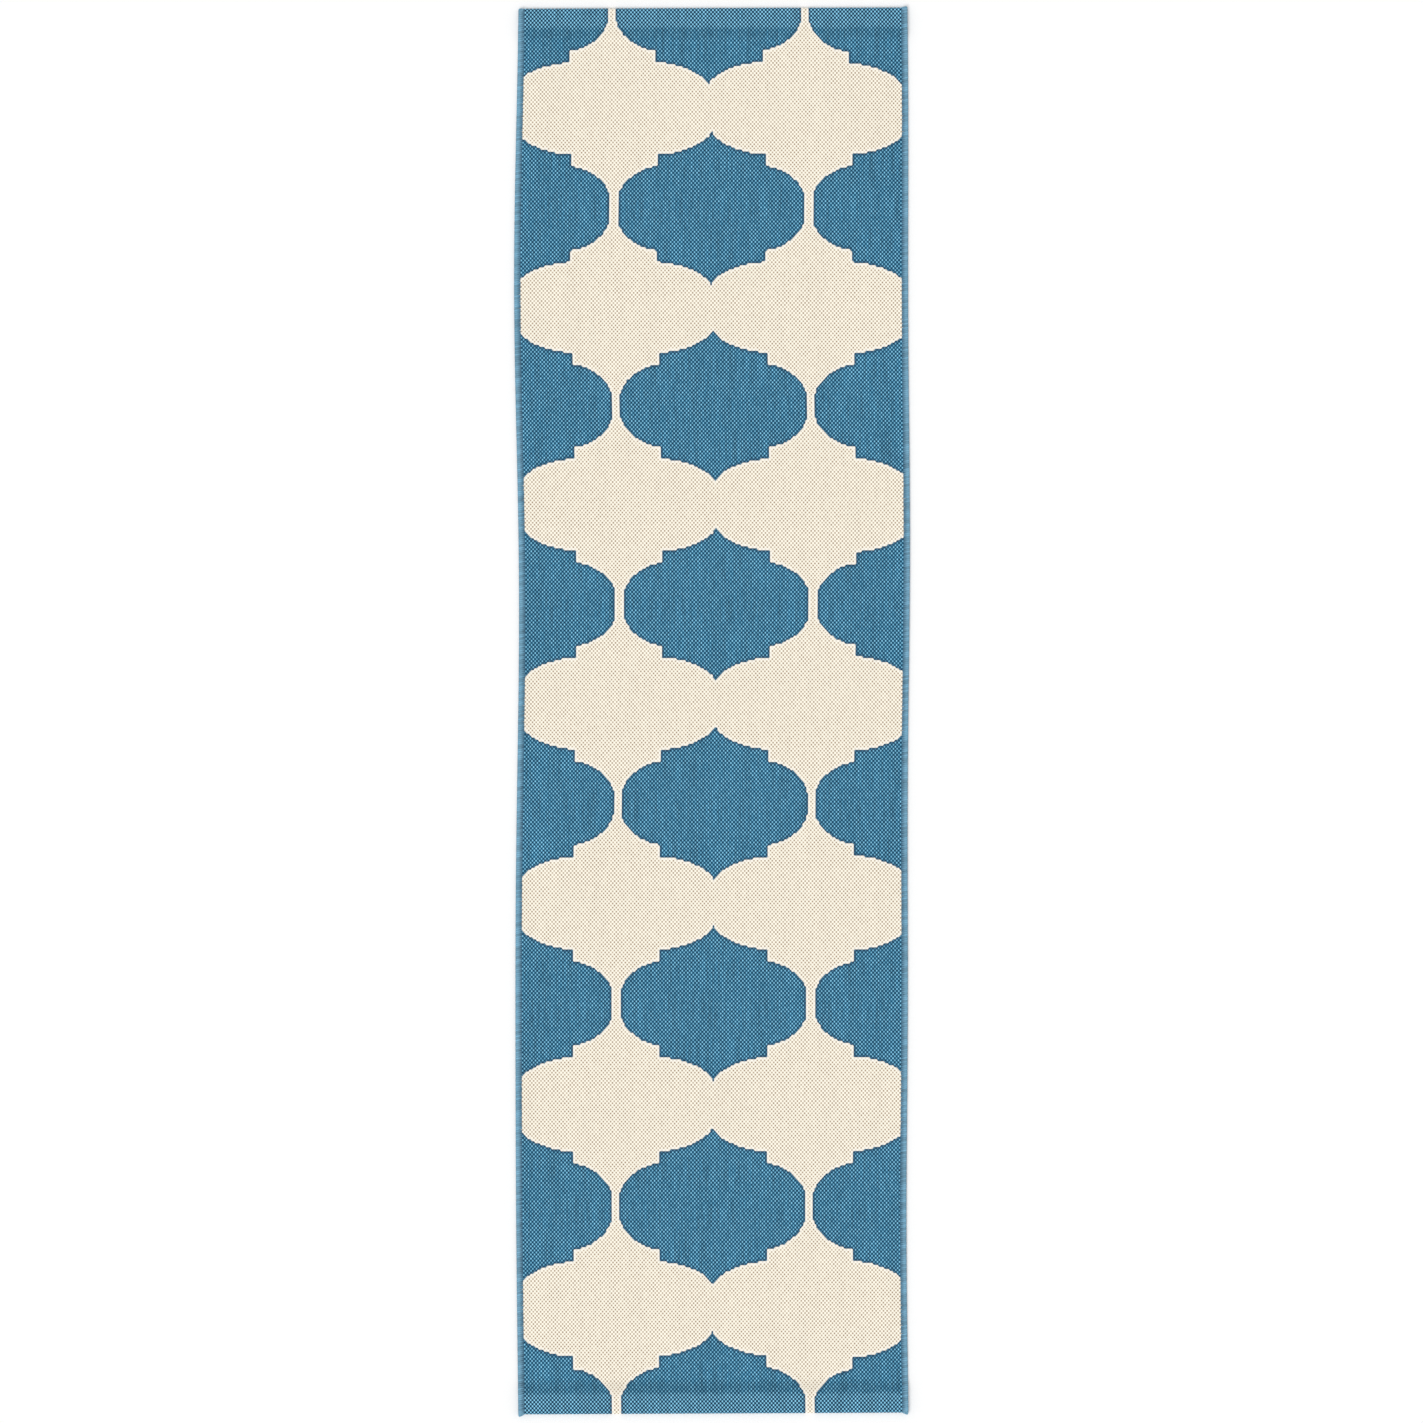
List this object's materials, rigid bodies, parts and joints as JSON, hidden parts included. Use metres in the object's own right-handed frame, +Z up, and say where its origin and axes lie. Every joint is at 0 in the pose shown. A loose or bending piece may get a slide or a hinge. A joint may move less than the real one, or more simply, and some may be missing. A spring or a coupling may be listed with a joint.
{
  "type": "runner rug",
  "caption": "Long narrow flat-woven runner rug with a blue and cream trellis pattern, serged long edges and folded, glued ends.",
  "frame": {"origin": "on the floor, under the middle of the rug's length and width", "axes": "+Z up out of the walking face, +Y along the rug to the head end, where a row of figures is centred on the fold, and +X to the right"},
  "size_m": [0.68, 2.446, 0.0097],
  "materials": {
    "blue_yarn": "matte woven polypropylene yarn with lengthwise streaks",
    "cream_yarn": "matte woven polypropylene yarn",
    "ground_yarn": "matte weft and stuffer yarn",
    "serging_yarn": "soft satin overedge yarn",
    "backcoat": "matte latex with the weave showing through",
    "glue": "dull hot-melt adhesive"
  },
  "bodies": {
    "root": {"blue_figure_left_head": "blue_yarn", "blue_figure_left_1": "blue_yarn", "blue_figure_left_2": "blue_yarn", "blue_figure_left_3": "blue_yarn", "blue_figure_left_4": "blue_yarn", "blue_figure_left_5": "blue_yarn", "blue_figure_left_6": "blue_yarn", "blue_figure_left_foot": "blue_yarn", "blue_figure_middle_head": "blue_yarn", "blue_figure_middle_1": "blue_yarn", "blue_figure_middle_2": "blue_yarn", "blue_figure_middle_3": "blue_yarn", "blue_figure_middle_4": "blue_yarn", "blue_figure_middle_5": "blue_yarn", "blue_figure_middle_6": "blue_yarn", "blue_figure_middle_foot": "blue_yarn", "blue_figure_right_head": "blue_yarn", "blue_figure_right_1": "blue_yarn", "blue_figure_right_2": "blue_yarn", "blue_figure_right_3": "blue_yarn", "blue_figure_right_4": "blue_yarn", "blue_figure_right_5": "blue_yarn", "blue_figure_right_6": "blue_yarn", "blue_figure_right_foot": "blue_yarn", "cream_face_yarn": "cream_yarn", "ground_cloth_field": "ground_yarn", "ground_cloth_head_hem": "ground_yarn", "ground_cloth_foot_hem": "ground_yarn", "backcoat_field": "backcoat", "backcoat_head_hem": "backcoat", "backcoat_foot_hem": "backcoat", "hem_glue_head": "glue", "hem_glue_foot": "glue", "serging_left_middle": "serging_yarn", "serging_left_head": "serging_yarn", "serging_left_foot": "serging_yarn", "corner_lock_left_head": "serging_yarn", "corner_lock_left_foot": "serging_yarn", "serging_right_middle": "serging_yarn", "serging_right_head": "serging_yarn", "serging_right_foot": "serging_yarn", "corner_lock_right_head": "serging_yarn", "corner_lock_right_foot": "serging_yarn"}
  },
  "joints": []
}
